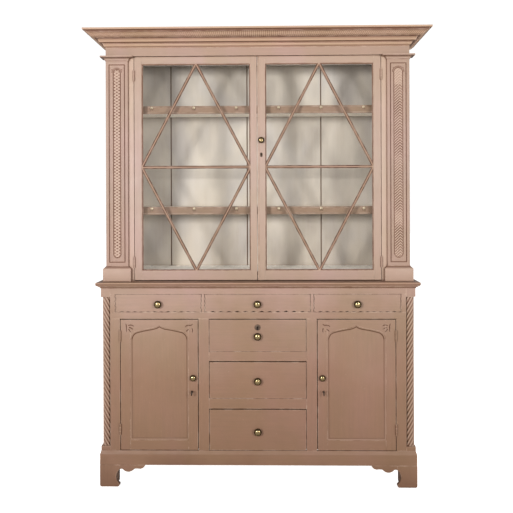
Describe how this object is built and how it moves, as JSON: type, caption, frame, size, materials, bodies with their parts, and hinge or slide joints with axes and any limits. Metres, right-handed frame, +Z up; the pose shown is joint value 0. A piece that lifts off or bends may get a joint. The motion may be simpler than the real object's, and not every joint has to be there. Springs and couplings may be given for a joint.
{
  "type": "kitchen dresser",
  "caption": "Painted two-part kitchen dresser: glazed upper case with lattice doors over a base of drawers and arched-panel cupboards, on bracket feet.",
  "frame": {"origin": "centre of the footprint's bounding box, on the floor", "axes": "+X to the right seen from the front, the doors and drawers face -Y, +Z up"},
  "size_m": [1.69, 0.514, 2.23],
  "materials": {
    "painted_wood": "dusty rose-brown eggshell paint on wood, rubbed through at some edges",
    "cream_painted_wood": "worn cream paint on boards",
    "bare_wood": "bare pine, waxed",
    "clear_glass": "clear window glass",
    "antique_brass": "aged brass, rubbed bright on the high parts",
    "dark_iron": "dark browned iron",
    "lock_steel": "dull steel plate",
    "painted_hinge_steel": "steel painted over with the frame"
  },
  "bodies": {
    "case": {"base_carcase": "painted_wood", "base_back_boards": "bare_wood", "base_top": "painted_wood", "base_face_frame": "painted_wood", "drawer_runners": "bare_wood", "rope_columns": "painted_wood", "plinth_rails": "painted_wood", "bracket_feet": "painted_wood", "upper_carcase": "painted_wood", "upper_back_boards": "cream_painted_wood", "upper_face_frame": "painted_wood", "pilasters": "painted_wood", "pilaster_mouldings": "painted_wood", "cornice": "painted_wood", "display_shelves": "painted_wood", "cup_hooks": "antique_brass", "hinge_fixed_leaves": "painted_hinge_steel"},
    "glazed_door_left": {"glazed_door_left_frame": "painted_wood", "glazed_door_left_bars": "painted_wood", "glazed_door_left_panes": "clear_glass", "glazed_door_left_hinge_leaves": "painted_hinge_steel"},
    "glazed_door_right": {"glazed_door_right_frame": "painted_wood", "glazed_door_right_bars": "painted_wood", "glazed_door_right_panes": "clear_glass", "glazed_door_right_hinge_leaves": "painted_hinge_steel", "glazed_door_right_knob": "antique_brass", "glazed_door_right_lock": "lock_steel"},
    "cupboard_door_left": {"cupboard_door_left_frame": "painted_wood", "cupboard_door_left_panel": "painted_wood", "cupboard_door_left_hinge_leaves": "painted_hinge_steel", "cupboard_door_left_knob": "antique_brass", "cupboard_door_left_lock": "lock_steel"},
    "cupboard_key_left": {"cupboard_key_left": "dark_iron"},
    "cupboard_lock_bolt_left": {"cupboard_lock_bolt_left": "lock_steel"},
    "cupboard_door_right": {"cupboard_door_right_frame": "painted_wood", "cupboard_door_right_panel": "painted_wood", "cupboard_door_right_hinge_leaves": "painted_hinge_steel", "cupboard_door_right_knob": "antique_brass", "cupboard_door_right_lock": "lock_steel"},
    "cupboard_key_right": {"cupboard_key_right": "dark_iron"},
    "cupboard_lock_bolt_right": {"cupboard_lock_bolt_right": "lock_steel"},
    "frieze_drawer_left": {"frieze_drawer_left_front": "painted_wood", "frieze_drawer_left_box": "bare_wood", "frieze_drawer_left_knob": "antique_brass"},
    "frieze_drawer_middle": {"frieze_drawer_middle_front": "painted_wood", "frieze_drawer_middle_box": "bare_wood", "frieze_drawer_middle_knob": "antique_brass"},
    "frieze_drawer_right": {"frieze_drawer_right_front": "painted_wood", "frieze_drawer_right_box": "bare_wood", "frieze_drawer_right_knob": "antique_brass"},
    "upper_drawer": {"upper_drawer_front": "painted_wood", "upper_drawer_box": "bare_wood", "upper_drawer_knob": "antique_brass", "upper_drawer_lock": "lock_steel"},
    "middle_drawer": {"middle_drawer_front": "painted_wood", "middle_drawer_box": "bare_wood", "middle_drawer_knob": "antique_brass"},
    "lower_drawer": {"lower_drawer_front": "painted_wood", "lower_drawer_box": "bare_wood", "lower_drawer_knob": "antique_brass"}
  },
  "joints": [
    {"name": "glazed_door_left_swing", "type": "hinge", "parent": "case", "child": "glazed_door_left", "pos_m": [-0.612, -0.143, 1.55], "axis": [0, 0, -1], "range_deg": [0, 100]},
    {"name": "glazed_door_right_swing", "type": "hinge", "parent": "case", "child": "glazed_door_right", "pos_m": [0.612, -0.143, 1.55], "axis": [0, 0, 1], "range_deg": [0, 100]},
    {"name": "cupboard_door_left_swing", "type": "hinge", "parent": "case", "child": "cupboard_door_left", "pos_m": [-0.6695, -0.218, 0.497], "axis": [0, 0, -1], "range_deg": [0, 110]},
    {"name": "cupboard_door_right_swing", "type": "hinge", "parent": "case", "child": "cupboard_door_right", "pos_m": [0.6695, -0.218, 0.497], "axis": [0, 0, 1], "range_deg": [0, 110]},
    {"name": "cupboard_key_left_turn", "type": "hinge", "parent": "cupboard_door_left", "child": "cupboard_key_left", "pos_m": [-0.319, -0.213, 0.462], "axis": [0, -1, 0], "range_deg": [0, 94]},
    {"name": "cupboard_key_right_turn", "type": "hinge", "parent": "cupboard_door_right", "child": "cupboard_key_right", "pos_m": [0.319, -0.213, 0.462], "axis": [0, 1, 0], "range_deg": [0, 94]},
    {"name": "cupboard_lock_bolt_left_slide", "type": "slide", "parent": "cupboard_door_left", "child": "cupboard_lock_bolt_left", "axis": [1, 0, 0], "range_m": [0, 0.0065]},
    {"name": "cupboard_lock_bolt_right_slide", "type": "slide", "parent": "cupboard_door_right", "child": "cupboard_lock_bolt_right", "axis": [-1, 0, 0], "range_m": [0, 0.0065]},
    {"name": "frieze_drawer_left_slide", "type": "slide", "parent": "case", "child": "frieze_drawer_left", "axis": [0, -1, 0], "range_m": [0, 0.31]},
    {"name": "frieze_drawer_middle_slide", "type": "slide", "parent": "case", "child": "frieze_drawer_middle", "axis": [0, -1, 0], "range_m": [0, 0.31]},
    {"name": "frieze_drawer_right_slide", "type": "slide", "parent": "case", "child": "frieze_drawer_right", "axis": [0, -1, 0], "range_m": [0, 0.31]},
    {"name": "upper_drawer_slide", "type": "slide", "parent": "case", "child": "upper_drawer", "axis": [0, -1, 0], "range_m": [0, 0.31]},
    {"name": "middle_drawer_slide", "type": "slide", "parent": "case", "child": "middle_drawer", "axis": [0, -1, 0], "range_m": [0, 0.31]},
    {"name": "lower_drawer_slide", "type": "slide", "parent": "case", "child": "lower_drawer", "axis": [0, -1, 0], "range_m": [0, 0.31]}
  ],
  "couplings": [
    {"joint": "cupboard_key_left_turn", "follows": "cupboard_lock_bolt_left_slide", "rad_per_m": 241.6},
    {"joint": "cupboard_key_right_turn", "follows": "cupboard_lock_bolt_right_slide", "rad_per_m": 241.6}
  ]
}
